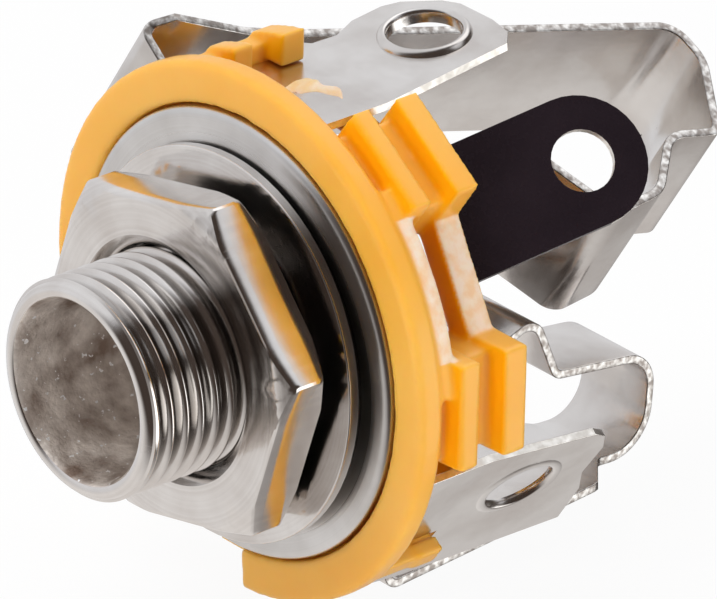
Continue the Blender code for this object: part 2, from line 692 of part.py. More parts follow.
def build():
    """Clears the scene and makes every piece of the jack."""
    for old in list(bpy.data.objects):
        bpy.data.objects.remove(old)
    nickel = material("nickel", (0.72, 0.70, 0.67), 0.25, 1.0)
    orange = material("orange_plastic", (0.93, 0.55, 0.10), 0.45, 0.0)
    black = material("black_plating", (0.02, 0.016, 0.018), 0.3, 0.3)
    build_bush(nickel)
    build_washer(nickel)
    build_nut(nickel)
    build_insulator(orange)
    build_sleeve_lug(black)
    build_tip_lug(nickel)
    build_ring_lug(nickel)
    build_tip_spring(nickel)
    build_ring_spring(nickel)


build()
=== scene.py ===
# %% [markdown]
# A quarter inch panel phone jack, seen from its mouth, a little above and from the right.
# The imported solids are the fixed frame. Each new surface below sits where its solid is.

# %% Load the frame
import math

import bmesh
import bpy
import numpy as np
from mathutils import Matrix, Vector


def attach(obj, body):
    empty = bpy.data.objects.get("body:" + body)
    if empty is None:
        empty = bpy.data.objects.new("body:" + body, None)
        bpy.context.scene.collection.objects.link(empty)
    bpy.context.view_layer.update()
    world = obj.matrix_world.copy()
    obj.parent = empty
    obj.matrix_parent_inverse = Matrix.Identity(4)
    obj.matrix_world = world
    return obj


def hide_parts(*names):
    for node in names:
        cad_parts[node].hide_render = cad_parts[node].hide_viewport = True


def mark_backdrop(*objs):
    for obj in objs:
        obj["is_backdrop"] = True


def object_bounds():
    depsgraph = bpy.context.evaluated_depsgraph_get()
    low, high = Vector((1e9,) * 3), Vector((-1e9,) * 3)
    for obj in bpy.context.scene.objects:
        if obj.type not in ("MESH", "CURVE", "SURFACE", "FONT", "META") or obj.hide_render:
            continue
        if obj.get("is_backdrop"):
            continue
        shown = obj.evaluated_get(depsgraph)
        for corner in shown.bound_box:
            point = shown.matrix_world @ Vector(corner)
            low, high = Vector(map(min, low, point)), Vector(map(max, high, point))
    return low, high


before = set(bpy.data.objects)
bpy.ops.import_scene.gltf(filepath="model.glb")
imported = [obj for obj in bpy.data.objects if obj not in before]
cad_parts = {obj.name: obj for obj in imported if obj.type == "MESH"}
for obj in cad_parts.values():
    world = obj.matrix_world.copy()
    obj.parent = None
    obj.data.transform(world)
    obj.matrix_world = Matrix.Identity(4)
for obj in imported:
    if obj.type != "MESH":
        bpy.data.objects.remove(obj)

MM = 0.001
solid_box = [list(corner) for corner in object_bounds()]
print("solid box in metres", solid_box)

# %% [markdown]
# The photograph is taken from far away with a long lens, so the jack shows almost no perspective.
# The camera stands 400 mm off. It is aimed beside the jack's origin, so the lens needs no shift.

# %% The camera
PICTURE_WIDTH = 717
PIXELS_PER_MM = 24.368
DISTANCE_MM = 400.0
SENSOR_MM = 36.0
AZIMUTH, ELEVATION, ROLL = map(math.radians, (49.29, 26.88, 1.1))
AIM_RIGHT_MM, AIM_UP_MM = 125.63 / PIXELS_PER_MM, 35.19 / PIXELS_PER_MM

towards = Vector((
    math.sin(AZIMUTH) * math.cos(ELEVATION),
    -math.cos(AZIMUTH) * math.cos(ELEVATION),
    math.sin(ELEVATION),
))
level_right = Vector((math.cos(AZIMUTH), math.sin(AZIMUTH), 0.0))
level_up = level_right.cross(-towards)
right = level_right * math.cos(ROLL) + level_up * math.sin(ROLL)
up = level_up * math.cos(ROLL) - level_right * math.sin(ROLL)

eye = towards * DISTANCE_MM * MM
aim = (right * AIM_RIGHT_MM + up * AIM_UP_MM) * MM
back = (eye - aim).normalized()
side = up.cross(back).normalized()
turn = Matrix((side, back.cross(side), back)).transposed()

lens = bpy.data.cameras.new("camera")
lens.sensor_width = SENSOR_MM
lens.lens = PIXELS_PER_MM * DISTANCE_MM / PICTURE_WIDTH * SENSOR_MM
lens.clip_start, lens.clip_end = 0.01, 10.0
camera = bpy.data.objects.new("camera", lens)
camera.matrix_world = Matrix.Translation(eye) @ turn.to_4x4()
bpy.context.scene.collection.objects.link(camera)
bpy.context.scene.camera = camera
print(f"lens {lens.lens:.0f} mm")

# %% [markdown]
# Light and materials are both trees of nodes. Each of these helpers places one node, sets it and returns
# its output, so that a material further down reads as a short list of steps.

# %% Helpers for node trees
def link(tree, a, b):
    """Joins an output to an input."""
    tree.links.new(a, b)


def math_node(tree, operation, a, b):
    """A Math node whose inputs are sockets or numbers."""
    node = tree.nodes.new("ShaderNodeMath")
    node.operation = operation
    for place, value in enumerate((a, b)):
        if isinstance(value, (int, float)):
            node.inputs[place].default_value = value
        else:
            link(tree, value, node.inputs[place])
    return node.outputs[0]


def noise_node(tree, where, scale, detail):
    """A Noise node on given coordinates, as a value from 0 to 1."""
    node = tree.nodes.new("ShaderNodeTexNoise")
    node.inputs["Scale"].default_value = scale
    node.inputs["Detail"].default_value = detail
    link(tree, where, node.inputs["Vector"])
    return node.outputs["Fac"]


def ramp_node(tree, value, stops):
    """A colour ramp over a value. Each stop is (place, colour)."""
    node = tree.nodes.new("ShaderNodeValToRGB")
    while len(node.color_ramp.elements) < len(stops):
        node.color_ramp.elements.new(0.5)
    for element, (place, color) in zip(node.color_ramp.elements, stops):
        element.position = place
        element.color = (*color, 1.0)
    link(tree, value, node.inputs["Fac"])
    return node.outputs["Color"]


def range_node(tree, value, at_zero, at_one):
    """Maps 0 to 1 in a straight line onto two values."""
    node = tree.nodes.new("ShaderNodeMapRange")
    node.inputs["To Min"].default_value = at_zero
    node.inputs["To Max"].default_value = at_one
    link(tree, value, node.inputs["Value"])
    return node.outputs["Result"]


def bump_node(tree, height, distance, strength):
    """A Bump node over a height. distance is in metres."""
    node = tree.nodes.new("ShaderNodeBump")
    node.inputs["Distance"].default_value = distance
    node.inputs["Strength"].default_value = strength
    link(tree, height, node.inputs["Height"])
    return node.outputs["Normal"]


def mix_color(tree, mask, below, above):
    """Two colours, sockets or tuples, mixed by a mask."""
    node = tree.nodes.new("ShaderNodeMix")
    node.data_type = "RGBA"
    link(tree, mask, node.inputs["Factor"])
    for name, value in (("A", below), ("B", above)):
        if isinstance(value, tuple):
            node.inputs[name].default_value = (*value, 1.0)
        else:
            link(tree, value, node.inputs[name])
    return node.outputs["Result"]


def attribute_value(tree, name):
    """A float attribute that the mesh carries."""
    node = tree.nodes.new("ShaderNodeAttribute")
    node.attribute_name = name
    return node.outputs["Fac"]


def blank_material(name):
    """A new material, its node tree and its Principled shader."""
    made = bpy.data.materials.new(name)
    made.use_nodes = True
    return made, made.node_tree, made.node_tree.nodes["Principled BSDF"]


# %% [markdown]
# The jack stands free before white paper, so the stage is a pale floor and a white world.
# Metal shows whatever surrounds it, so what stands round it matters more than the lamps do.
# Real cards and lamps could be modelled, but then they would have to be hidden in every view.
# Here the world itself is the studio: white to the camera, and a dark warm room to every other ray,
# with soft patches of light laid over it. The dark between the patches gives the plating its streaks.

# %% The stage and the light
FLOOR_DROP_MM = 1.0
FLOOR_HALF_MM = 1500.0
PAPER_COLOR, PAPER_ROUGHNESS, PAPER_LIFT = (0.9, 0.9, 0.9, 1.0), 0.9, 0.93
JACK_MIDDLE_MM = (0.0, 9.0, 0.0)
DARK_ROOM = (0.060, 0.045, 0.038)

# Each patch is its colour, the direction of its middle, and the cosines at which it starts and is full:
# a pale table, light from the left, a card at the right, a strip behind and a small window above
STUDIO = [
    ((0.82, 0.79, 0.77), (-0.45, -0.20, -0.87), 0.10, 0.92),
    ((0.80, 0.80, 0.82), (-0.85, 0.05, 0.52), 0.20, 0.58),
    ((1.9, 1.88, 1.85), (0.78, 0.58, -0.25), 0.86, 0.94),
    ((1.45, 1.45, 1.47), (-0.15, 0.64, 0.75), 0.88, 0.94),
    ((0.80, 0.81, 0.84), (0.52, 0.58, 0.63), 0.94, 0.985),
]

# Each lamp is its name, its place and size in millimetres, and its watts
LAMPS = [
    ("lamp_above", (-60, -90, 260), (200, 160), 0.36),
    ("lamp_front", (150, -260, 40), (120, 120), 0.34),
    ("lamp_right", (260, 60, 100), (100, 100), 0.22),
]


def make_floor():
    """A square of white paper under the jack. The camera sees it as white where nothing shades it."""
    low = solid_box[0][2] - FLOOR_DROP_MM * MM
    half = FLOOR_HALF_MM * MM
    corners = [(-half, -half, low), (half, -half, low), (half, half, low), (-half, half, low)]
    mesh = bpy.data.meshes.new("floor")
    mesh.from_pydata(corners, [], [(0, 1, 2, 3)])
    floor = bpy.data.objects.new("floor", mesh)
    bpy.context.scene.collection.objects.link(floor)
    paper, tree, surface = blank_material("white_paper")
    surface.inputs["Base Color"].default_value = PAPER_COLOR
    surface.inputs["Roughness"].default_value = PAPER_ROUGHNESS
    lift = tree.nodes.new("ShaderNodeEmission")
    lift.inputs["Color"].default_value = (1.0, 1.0, 1.0, 1.0)
    lift.inputs["Strength"].default_value = 1.0
    path = tree.nodes.new("ShaderNodeLightPath")
    mix = tree.nodes.new("ShaderNodeMixShader")
    share = math_node(tree, "MULTIPLY", path.outputs["Is Camera Ray"], PAPER_LIFT)
    link(tree, share, mix.inputs["Fac"])
    link(tree, surface.outputs[0], mix.inputs[1])
    link(tree, lift.outputs[0], mix.inputs[2])
    link(tree, mix.outputs[0], tree.nodes["Material Output"].inputs["Surface"])
    mesh.materials.append(paper)
    floor.visible_glossy = False
    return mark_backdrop(floor)


def make_world():
    """White for the camera. Other rays see the dark room with each patch of light laid over it."""
    world = bpy.data.worlds.new("studio")
    bpy.context.scene.world = world
    world.use_nodes = True
    tree = world.node_tree
    tree.nodes.clear()
    direction = tree.nodes.new("ShaderNodeTexCoord").outputs["Generated"]

    def facing(middle, low, high):
        """How far a direction points towards a place, from 0 at low to 1 at high."""
        dot = tree.nodes.new("ShaderNodeVectorMath")
        dot.operation = "DOT_PRODUCT"
        dot.inputs[1].default_value = Vector(middle).normalized()
        link(tree, direction, dot.inputs[0])
        ramp = tree.nodes.new("ShaderNodeMapRange")
        ramp.interpolation_type = "SMOOTHSTEP"
        ramp.inputs["From Min"].default_value = low
        ramp.inputs["From Max"].default_value = high
        link(tree, dot.outputs["Value"], ramp.inputs["Value"])
        return ramp.outputs["Result"]

    room_color = DARK_ROOM
    for color, place, low, high in STUDIO:
        room_color = mix_color(tree, facing(place, low, high), room_color, color)
    room = tree.nodes.new("ShaderNodeBackground")
    link(tree, room_color, room.inputs["Color"])
    white = tree.nodes.new("ShaderNodeBackground")
    white.inputs["Color"].default_value = (1.0, 1.0, 1.0, 1.0)
    path = tree.nodes.new("ShaderNodeLightPath")
    mix = tree.nodes.new("ShaderNodeMixShader")
    out = tree.nodes.new("ShaderNodeOutputWorld")
    link(tree, path.outputs["Is Camera Ray"], mix.inputs["Fac"])
    link(tree, room.outputs[0], mix.inputs[1])
    link(tree, white.outputs[0], mix.inputs[2])
    link(tree, mix.outputs[0], out.inputs["Surface"])


def soft_box(name, place_mm, size_mm, watts):
    """A rectangular lamp at a place in millimetres, facing the jack's middle."""
    data = bpy.data.lights.new(name, "AREA")
    data.shape = "RECTANGLE"
    data.size, data.size_y = size_mm[0] * MM, size_mm[1] * MM
    data.energy = watts
    lamp = bpy.data.objects.new(name, data)
    lamp.location = Vector(place_mm) * MM
    middle = Vector(JACK_MIDDLE_MM) * MM
    lamp.rotation_euler = (middle - lamp.location).to_track_quat("-Z", "Y").to_euler()
    lamp.visible_glossy = False
    bpy.context.scene.collection.objects.link(lamp)


make_floor()
make_world()
for lamp in LAMPS:
    soft_box(*lamp)
bpy.context.scene.view_settings.view_transform = "Standard"
print("floor at", solid_box[0][2] - FLOOR_DROP_MM * MM, "with", len(LAMPS), "lamps")

# %% [markdown]
# The turned parts and the sheets are nickel plated. Real plating isn't a perfect mirror:
# it has a fine tooth, faint stains and small scratches. One node group makes those three masks,
# and each metal material mixes them in its own amounts.

# %% The wear group
STAIN_SCALE, TOOTH_SCALE, SCRATCH_SCALE = 260.0, 3200.0, 1500.0
SCRATCH_DRAWN = (1.0, 0.08, 0.6)
SCRATCH_FROM = 0.74


def make_wear_group():
    """Stains, fine tooth and scratches, each a noise on object coordinates in metres at its own scale."""
    group = bpy.data.node_groups.new("plating_wear", "ShaderNodeTree")
    for name in ("Stain", "Tooth", "Scratch"):
        group.interface.new_socket(name=name, in_out="OUTPUT", socket_type="NodeSocketFloat")
    result = group.nodes.new("NodeGroupOutput")
    place = group.nodes.new("ShaderNodeTexCoord").outputs["Object"]
    stain = noise_node(group, place, STAIN_SCALE, detail=4.0)
    tooth = noise_node(group, place, TOOTH_SCALE, detail=3.0)
    bent = group.nodes.new("ShaderNodeVectorMath")
    bent.operation = "MULTIPLY"
    link(group, place, bent.inputs[0])
    bent.inputs[1].default_value = SCRATCH_DRAWN
    dashes = noise_node(group, bent.outputs[0], SCRATCH_SCALE, detail=1.0)
    thin = math_node(group, "GREATER_THAN", dashes, SCRATCH_FROM)
    link(group, stain, result.inputs["Stain"])
    link(group, tooth, result.inputs["Tooth"])
    link(group, thin, result.inputs["Scratch"])
    return group


wear = make_wear_group()
print("wear group sockets:", [item.name for item in wear.interface.items_tree])

# %% The plated metal
def make_plating(name, pale, dull, rough):
    """Nickel plate between a dull and a pale tone, whose tooth and scratches roughen and dent it."""
    made, tree, shader = blank_material(name)
    marks = tree.nodes.new("ShaderNodeGroup")
    marks.node_tree = wear
    tone = ramp_node(tree, marks.outputs["Stain"], [(0.3, dull), (0.62, pale)])
    link(tree, tone, shader.inputs["Base Color"])
    grain = math_node(tree, "ADD", marks.outputs["Stain"], marks.outputs["Tooth"])
    half = math_node(tree, "MULTIPLY", grain, 0.5)
    link(tree, range_node(tree, half, rough[0], rough[1]), shader.inputs["Roughness"])
    cut = math_node(tree, "MULTIPLY", marks.outputs["Scratch"], -1.0)
    relief = math_node(tree, "ADD", marks.outputs["Tooth"], cut)
    link(tree, bump_node(tree, relief, distance=0.000012, strength=0.35), shader.inputs["Normal"])
    shader.inputs["Metallic"].default_value = 1.0
    return made


PALE_NICKEL = (0.80, 0.78, 0.76)
DULL_NICKEL = (0.62, 0.58, 0.55)
plating = make_plating("nickel_plate", PALE_NICKEL, DULL_NICKEL, (0.12, 0.34))
print("sheet finish:", plating.name)

# %% [markdown]
# The body is moulded in an amber plastic that lets a little light in. Faces that look forward inside the
# steps get painted shade, a deeper amber. The strut and the rib are paler where the wall is thin, with
# speckles of painted sheen on them. A painted texture could show that, but two masks written on the mesh's
# points do it without one, and stay with the shape.
# The lug on the bush is polished metal that mirrors a dark room. Its black is painted as that reflection:
# glossy, but never a clean mirror.

# %% The plastic and the lug's painted black reflection
AMBER_PLAIN = ((0.90, 0.43, 0.045), (0.94, 0.50, 0.080))
# The amber of the painted shade in the steps
AMBER_STEP_SHADE = (0.98, 0.42, 0.001)
# Paler amber where the wall is thin, with speckles of painted sheen
AMBER_THIN_AND_SHEEN = ((0.90, 0.62, 0.38), (0.93, 0.76, 0.60))
# The sleeve lug's black is a painted reflection of the dark room
BLACK_DEEP, BLACK_BROWN = (0.012, 0.008, 0.011), (0.018, 0.012, 0.016)


def make_amber():
    """Amber plastic: flow mottle, painted shade in the steps, and paler with painted sheen speckles where the
    wall is thin.
    """
    made, tree, shader = blank_material("amber_plastic")
    place = tree.nodes.new("ShaderNodeTexCoord").outputs["Object"]
    flow = noise_node(tree, place, scale=160.0, detail=3.0)
    fine = noise_node(tree, place, scale=2600.0, detail=2.0)
    speck = noise_node(tree, place, scale=1700.0, detail=3.0)
    plain = ramp_node(tree, flow, [(0.3, AMBER_PLAIN[0]), (0.7, AMBER_PLAIN[1])])
    # Painted shade: a deeper amber where faces look forward in the steps
    step_shade = mix_color(tree, attribute_value(tree, "step_shade"), plain, AMBER_STEP_SHADE)
    # Paler where the wall is thin, with speckles of painted sheen
    thin_and_sheen = ramp_node(tree, speck, [(0.36, AMBER_THIN_AND_SHEEN[0]), (0.60, AMBER_THIN_AND_SHEEN[1])])
    link(tree, mix_color(tree, attribute_value(tree, "thin"), step_shade, thin_and_sheen), shader.inputs["Base Color"])
    link(tree, range_node(tree, fine, at_zero=0.26, at_one=0.42), shader.inputs["Roughness"])
    link(tree, bump_node(tree, fine, distance=0.000022, strength=0.45), shader.inputs["Normal"])
    shader.inputs["Subsurface Weight"].default_value = 0.30
    shader.inputs["Subsurface Radius"].default_value = (1.0, 0.45, 0.12)
    shader.inputs["Subsurface Scale"].default_value = 0.0010
    return made


def make_black():
    """Glossy black, a painted reflection of the dark room in the lug's polished metal, with a faint brown
    cast and fine dust.
    """
    made, tree, shader = blank_material("painted_black_reflection")
    marks = tree.nodes.new("ShaderNodeGroup")
    marks.node_tree = wear
    tone = ramp_node(tree, marks.outputs["Stain"], [(0.3, BLACK_DEEP), (0.7, BLACK_BROWN)])
    link(tree, tone, shader.inputs["Base Color"])
    tooth = marks.outputs["Tooth"]
    link(tree, range_node(tree, tooth, at_zero=0.20, at_one=0.34), shader.inputs["Roughness"])
    link(tree, bump_node(tree, tooth, distance=0.000008, strength=0.25), shader.inputs["Normal"])
    shader.inputs["Specular IOR Level"].default_value = 0.28
    return made


amber = make_amber()
black = make_black()
print("body and sleeve lug finishes:", amber.name, black.name)

# %% [markdown]
# The bush is one turned piece: a threaded tube with a wide flange. A lathe turns a profile round the axis,
# so the surface is a grid: one direction runs round the axis, the other runs along the profile.
# The thread is a change of radius that moves on by one pitch in each turn, so it needs no separate helix.

# %% Grid helpers
def grid_faces(rows, columns, rows_closed):
    """Quads between neighbouring rows, whose columns close on themselves, and a face for each open end."""
    index = np.arange(rows * columns).reshape(rows, columns)
    here = index if rows_closed else index[:-1]
    there = np.roll(index, -1, axis=0) if rows_closed else index[1:]
    quads = np.stack([here, np.roll(here, -1, axis=1), np.roll(there, -1, axis=1), there], axis=-1)
    return quads.reshape(-1, 4), [] if rows_closed else [index[0], index[-1]]


def point_mesh(name, points, materials, rows_closed):
    """A mesh from points (rows, columns, xyz) with its materials."""
    quads, ends = grid_faces(*points.shape[:2], rows_closed)
    mesh = bpy.data.meshes.new(name)
    mesh.from_pydata(points.reshape(-1, 3).tolist(), [], quads.tolist() + [end.tolist() for end in ends])
    for made in materials:
        mesh.materials.append(made)
    return mesh


def grid_mesh(name, points, materials, row_material, sharp):
    """A closed piece from points whose rows close too. row_material is each row's material, or None."""
    mesh = point_mesh(name, points, materials, True)
    if row_material is not None:
        per_face = np.repeat(row_material, points.shape[1]).astype(np.int32)
        mesh.polygons.foreach_set("material_index", per_face)
    return finish_mesh(name, mesh, sharp)


def turn_out(mesh):
    """Turns the faces of closed shapes outwards."""
    work = bmesh.new()
    work.from_mesh(mesh)
    bmesh.ops.recalc_face_normals(work, faces=work.faces)
    work.to_mesh(mesh)
    work.free()


def finish_mesh(name, mesh, sharp):
    """Turns the faces outwards, smooths them up to a sharp angle and puts the object into the scene."""
    turn_out(mesh)
    mesh.shade_smooth()
    mesh.set_sharp_from_angle(angle=math.radians(sharp))
    made = bpy.data.objects.new(name, mesh)
    bpy.context.scene.collection.objects.link(made)
    return made


def write_mask(mesh, title, values):
    """Writes one number on each point of a mesh, which a material reads by its title."""
    mask = mesh.attributes.new(title, "FLOAT", "POINT")
    mask.data.foreach_set("value", values.reshape(-1).astype(np.float32))


def rise(value, start, span):
    """0 up to the start, then a straight rise to 1 over the span."""
    return np.clip((value - start) / span, 0.0, 1.0)


def report(piece):
    """Prints a piece's size."""
    print(piece.name, len(piece.data.polygons), "faces", [round(v * 1000, 2) for v in piece.dimensions])
    return piece


def densify(profile, step):
    """Points along a profile of (radius, y), no further apart than the step."""
    dense = []
    for (r0, y0), (r1, y1) in zip(profile, profile[1:]):
        count = max(1, int(math.ceil(math.hypot(r1 - r0, y1 - y0) / step)))
        share = np.arange(count) / count
        dense.append(np.stack([r0 + (r1 - r0) * share, y0 + (y1 - y0) * share], axis=-1))
    dense.append(np.array([profile[-1]], float))
    return np.concatenate(dense)


# %% [markdown]
# A lathe leaves fine rings. They are a noise that reads only the distance from the axis, so it is the same
# all the way round. The roots of the thread get painted shade, where a mask on the mesh darkens the plate.
# The inside of the tube is rough, with a brownish mottle and bright white flecks in its colour.

# %% The lathe work on the plating
# The colour of the painted shade in the thread's roots
ROOT_SHADE_COLOR = (0.10, 0.085, 0.075)


def make_turned(name, pale, dull, rough, ring_scale, ring_depth):
    """Plating with fine rings round the Y axis, as a lathe leaves them, under the shared wear, with painted
    shade in the thread's roots.
    """
    made, tree, shader = blank_material(name)
    marks = tree.nodes.new("ShaderNodeGroup")
    marks.node_tree = wear
    place = tree.nodes.new("ShaderNodeTexCoord").outputs["Object"]
    flat = tree.nodes.new("ShaderNodeVectorMath")
    flat.operation = "MULTIPLY"
    flat.inputs[1].default_value = (1.0, 0.0, 1.0)
    link(tree, place, flat.inputs[0])
    reach = tree.nodes.new("ShaderNodeVectorMath")
    reach.operation = "LENGTH"
    link(tree, flat.outputs[0], reach.inputs[0])
    only = tree.nodes.new("ShaderNodeCombineXYZ")
    link(tree, reach.outputs["Value"], only.inputs["X"])
    rings = noise_node(tree, only.outputs[0], ring_scale, detail=3.0)
    stain_share = math_node(tree, "MULTIPLY", marks.outputs["Stain"], 0.7)
    ring_share = math_node(tree, "MULTIPLY", rings, 0.3)
    tone = math_node(tree, "ADD", stain_share, ring_share)
    plate = ramp_node(tree, tone, [(0.36, dull), (0.60, pale)])
    # Painted shade: the root mask darkens the plate in the thread's roots
    shaded_plate = mix_color(tree, attribute_value(tree, "root"), plate, ROOT_SHADE_COLOR)
    link(tree, shaded_plate, shader.inputs["Base Color"])
    link(tree, range_node(tree, rings, rough[0], rough[1]), shader.inputs["Roughness"])
    grain = math_node(tree, "ADD", rings, math_node(tree, "MULTIPLY", marks.outputs["Tooth"], 0.35))
    cut = math_node(tree, "SUBTRACT", grain, math_node(tree, "MULTIPLY", marks.outputs["Scratch"], 0.8))
    link(tree, bump_node(tree, cut, ring_depth, strength=0.6), shader.inputs["Normal"])
    shader.inputs["Metallic"].default_value = 1.0
    return made


def make_bore():
    """The rough inside of the tube: dull, brownish and speckled."""
    made, tree, shader = blank_material("bore_metal")
    place = tree.nodes.new("ShaderNodeTexCoord").outputs["Object"]
    broad = noise_node(tree, place, scale=620.0, detail=8.0)
    grit = noise_node(tree, place, scale=3600.0, detail=4.0)
    fleck = noise_node(tree, place, scale=3000.0, detail=4.0)
    plain = ramp_node(tree, broad, [(0.34, (0.26, 0.19, 0.15)), (0.66, (0.95, 0.88, 0.81))])
    bright = math_node(tree, "GREATER_THAN", fleck, 0.66)
    link(tree, mix_color(tree, bright, plain, (1.0, 1.0, 1.0)), shader.inputs["Base Color"])
    link(tree, range_node(tree, grit, at_zero=0.20, at_one=0.60), shader.inputs["Roughness"])
    link(tree, bump_node(tree, grit, distance=0.00009, strength=0.8), shader.inputs["Normal"])
    shader.inputs["Metallic"].default_value = 0.55
    return made


turned = make_turned(
    "turned_nickel", (0.84, 0.82, 0.80), (0.66, 0.62, 0.59), (0.08, 0.22),
    ring_scale=5200.0, ring_depth=0.000006)
flange_plate = make_turned(
    "flange_nickel", (0.78, 0.77, 0.76), (0.60, 0.58, 0.56), (0.18, 0.42),
    ring_scale=9000.0, ring_depth=0.000016)
bore_metal = make_bore()
print("turned finishes:", turned.name, flange_plate.name, bore_metal.name)

# %% The bush
THREAD_RADIUS = 4.75
THREAD_DEPTH = 0.50
THREAD_PITCH = 0.79375
ROOT_POWER = 1.25
# Painted shade in the thread's roots: the share of the cut where it starts, and how dark it gets
ROOT_SHADE_START, ROOT_SHADE_STRENGTH = 0.25, 0.85
THREAD_FROM, THREAD_TO = -8.05, -0.25
RUN_OUT = 0.7
BUSH_COLUMNS = 288
TUBE_BORE, TUBE_END = 3.25, 2.65
SPIGOT_OUT, CRIMP_OUT, CRIMP_FROM = 5.6, 6.6, 2.1
FLANGE_OUT, FLANGE_BACK = 9.7, 1.0
LIP_STEP, FACE_STEP = 0.2, 0.15


def thread_cut(y, turn):
    """How far the thread cuts in: a rounded wave, narrower in the root, of y over the pitch plus the turn."""
    phase = (y / THREAD_PITCH + turn / (2 * np.pi)) % 1.0
    wave = 0.5 - 0.5 * np.cos(2 * np.pi * phase)
    fade = rise(y, THREAD_FROM, RUN_OUT) * rise(-y, -THREAD_TO, RUN_OUT)
    return THREAD_DEPTH * wave ** ROOT_POWER * np.sqrt(fade)


def make_bush():
    """Every row is a ring of the turned profile, less the thread's cut where it has one."""
    fine, plain = 0.05, 0.5
    inside = densify([(TUBE_BORE, TUBE_END), (TUBE_BORE, -2.4), (3.9, -8.0), (3.95, -8.22)], plain)
    lip = densify([
        (3.95, -8.22), (4.02, -8.33), (4.14, -8.39), (4.3, -8.4),
        (4.44, -8.37), (4.56, -8.27), (4.63, -8.1), (THREAD_RADIUS, THREAD_FROM),
    ], LIP_STEP)
    outside = densify([(THREAD_RADIUS, THREAD_FROM), (THREAD_RADIUS, -0.2), (4.82, -0.04), (4.95, 0.0)], fine)
    face = densify([(4.95, 0.0), (9.42, 0.0), (9.56, 0.03), (9.66, 0.11), (FLANGE_OUT, 0.25)], FACE_STEP)
    edge = densify([
        (FLANGE_OUT, 0.25), (FLANGE_OUT, 0.88), (9.6, FLANGE_BACK),
        (SPIGOT_OUT, FLANGE_BACK), (SPIGOT_OUT, CRIMP_FROM), (CRIMP_OUT, CRIMP_FROM),
        (CRIMP_OUT, 2.45), (6.4, TUBE_END), (TUBE_BORE, TUBE_END),
    ], plain)
    parts = [inside, lip[1:], outside[1:], face[1:], edge[1:-1]]
    profile = np.concatenate(parts)
    kinds = np.concatenate([np.full(len(part), kind) for part, kind in zip(parts, (2, 1, 1, 0, 0))])
    turn = np.arange(BUSH_COLUMNS) * 2 * np.pi / BUSH_COLUMNS
    radius = np.repeat(profile[:, :1], BUSH_COLUMNS, axis=1)
    y = np.repeat(profile[:, 1:], BUSH_COLUMNS, axis=1)
    threaded = (np.abs(radius - THREAD_RADIUS) < 1e-6) & (y > THREAD_FROM) & (y < THREAD_TO)
    cut = np.where(threaded, thread_cut(y, turn[None, :]), 0.0)
    radius = radius - cut
    points = np.stack([radius * np.cos(turn), y, radius * np.sin(turn)], axis=-1) * MM
    made = grid_mesh("bush_turned", points, [flange_plate, turned, bore_metal], kinds, sharp=40.0)
    # Painted shade: the deeper the thread cuts, the darker the plate there
    root_shade = np.clip(cut / THREAD_DEPTH - ROOT_SHADE_START, 0.0, None) * ROOT_SHADE_STRENGTH / (1.0 - ROOT_SHADE_START)
    write_mask(made.data, "root", root_shade)
    return made


bush = report(make_bush())
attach(bush, "frame")
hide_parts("bush")

# %% [markdown]
# The nut is a slice of hexagon bar. Its outside radius is a function of the turn: the distance to the flat.
# A lathe then takes the corners down with a shallow cone, which leaves the curved edge on each flat.

# %% The nut
NUT_FLAT = 7.0
NUT_FRONT, NUT_REAR = -3.8, -1.5
NUT_CORNER_TURN = math.radians(12.0)
NUT_CONE_FROM = 7.35
NUT_CONE_SLOPE = 0.55
NUT_BORE, NUT_MOUTH, NUT_SOFT = 4.85, 5.35, 0.10
NUT_COUNTERSINK = 0.45
NUT_COLUMNS = 360


def hex_radius(turn):
    """Distance to a hexagon's side: the flat's distance over the cosine of the angle from its middle."""
    sixth = math.pi / 3
    from_middle = (turn - NUT_CORNER_TURN) % sixth - sixth / 2
    return NUT_FLAT / np.cos(from_middle)


def make_nut():
    """Rows run over the front face, down the flats, back over the rear face and through the bore."""
    turn = (np.arange(NUT_COLUMNS) + 0.5) * 2 * np.pi / NUT_COLUMNS + NUT_CORNER_TURN
    out = hex_radius(turn)
    bore, mouth, soft = NUT_BORE, NUT_MOUTH, NUT_SOFT
    rows = []
    for share in (0.0, 0.35, 0.7, 0.85, 0.93, 1.0):
        radius = mouth + (out - soft - mouth) * share
        rows.append((radius, NUT_FRONT + np.maximum(radius - NUT_CONE_FROM, 0.0) * NUT_CONE_SLOPE))
    front = NUT_FRONT + np.maximum(out - NUT_CONE_FROM, 0.0) * NUT_CONE_SLOPE
    rear = NUT_REAR - np.maximum(out - NUT_CONE_FROM, 0.0) * NUT_CONE_SLOPE
    for inset, drop in ((0.3, 0.3), (0.0, 1.0)):
        rows.append((out - soft * inset, front + soft * drop))
    for share in (0.25, 0.5, 0.75):
        rows.append((out, front + soft + (rear - front - 2 * soft) * share))
    for inset, drop in ((0.0, 1.0), (0.3, 0.3)):
        rows.append((out - soft * inset, rear - soft * drop))
    for share in (1.0, 0.85, 0.6, 0.0):
        radius = mouth + (out - soft - mouth) * share
        rows.append((radius, NUT_REAR - np.maximum(radius - NUT_CONE_FROM, 0.0) * NUT_CONE_SLOPE))
    for radius, y in ((bore, NUT_REAR - NUT_COUNTERSINK), (bore, -2.6), (bore, NUT_FRONT + NUT_COUNTERSINK)):
        rows.append((np.full_like(turn, radius), np.full_like(turn, y)))
    radius = np.array([row[0] for row in rows])
    y = np.array([np.broadcast_to(row[1], turn.shape) for row in rows])
    points = np.stack([radius * np.cos(turn), y, radius * np.sin(turn)], axis=-1) * MM
    return grid_mesh("nut_hexagon", points, [turned], None, sharp=24.0)


nut = report(make_nut())
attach(nut, "nut_body")
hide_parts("nut")

# %% [markdown]
# The springs are strips cut from sheet and bent. A strip is a rounded rectangle carried along a bent line.
# The line is straight runs joined by arcs. A curve object with a bevel could draw it, but its section would
# turn at the bends, and here each station's width is wanted too. Shearing leaves the cut edges a little
# rounded and full of torn dimples, so they have a finish of their own.

